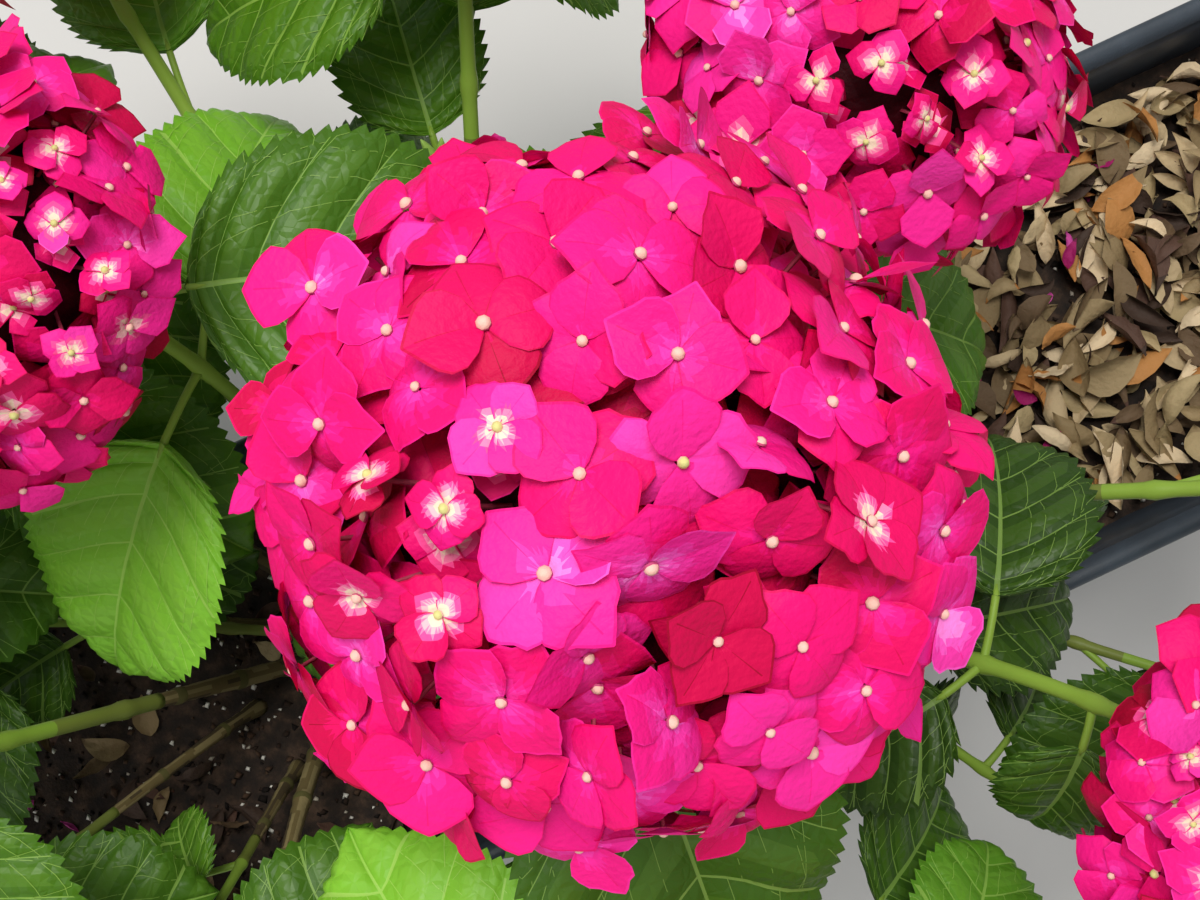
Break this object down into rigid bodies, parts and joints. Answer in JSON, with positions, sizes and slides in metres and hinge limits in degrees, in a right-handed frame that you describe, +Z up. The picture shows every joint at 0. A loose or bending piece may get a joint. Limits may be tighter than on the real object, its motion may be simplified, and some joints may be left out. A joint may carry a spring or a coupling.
{
  "type": "hydrangea shrub in a trough planter",
  "caption": "Mophead hydrangea with large round pink flower heads and broad serrated leaves, growing from a clump of woody canes in a long slate-grey trough planter",
  "frame": {"origin": "centre of the trough's flat underside", "axes": "+X along the trough, +Y across it towards the taller back of the crown, +Z up"},
  "size_m": [1.2, 0.8579, 0.8087],
  "materials": {
    "trough": "satin slate-grey, slightly lighter on the rim",
    "soil": "dark crumbly potting soil with pale grit and dry leaf litter",
    "canes": "smooth olive-green to light-brown bark, lime green higher up",
    "leaves": "satin green leaves, puckered between pale veins",
    "flowers": "matt bright pink sepals, paler round a cream centre"
  },
  "bodies": {
    "root": {"trough": "trough", "soil": "soil", "cane_01": "canes", "leaves_01": "leaves", "flower_head_01": "flowers", "cane_02": "canes", "leaves_02": "leaves", "flower_head_02": "flowers", "cane_03": "canes", "leaves_03": "leaves", "flower_head_03": "flowers", "cane_04": "canes", "leaves_04": "leaves", "flower_head_04": "flowers", "cane_05": "canes", "leaves_05": "leaves", "flower_head_05": "flowers", "cane_06": "canes", "leaves_06": "leaves", "flower_head_06": "flowers", "cane_07": "canes", "leaves_07": "leaves", "flower_head_07": "flowers", "cane_08": "canes", "leaves_08": "leaves", "flower_head_08": "flowers", "cane_09": "canes", "leaves_09": "leaves", "flower_head_09": "flowers", "cane_10": "canes", "leaves_10": "leaves", "flower_head_10": "flowers", "cane_11": "canes", "leaves_11": "leaves", "flower_head_11": "flowers", "cane_12": "canes", "leaves_12": "leaves", "flower_head_12": "flowers", "cane_13": "canes", "leaves_13": "leaves", "cane_14": "canes", "leaves_14": "leaves", "cane_15": "canes", "leaves_15": "leaves", "cane_16": "canes", "leaves_16": "leaves", "cane_17": "canes", "leaves_17": "leaves", "cane_18": "canes", "leaves_18": "leaves", "cane_19": "canes", "leaves_19": "leaves", "cane_20": "canes", "leaves_20": "leaves", "cane_21": "canes", "leaves_21": "leaves", "cane_22": "canes", "leaves_22": "leaves", "cane_23": "canes", "leaves_23": "leaves"}
  },
  "joints": []
}
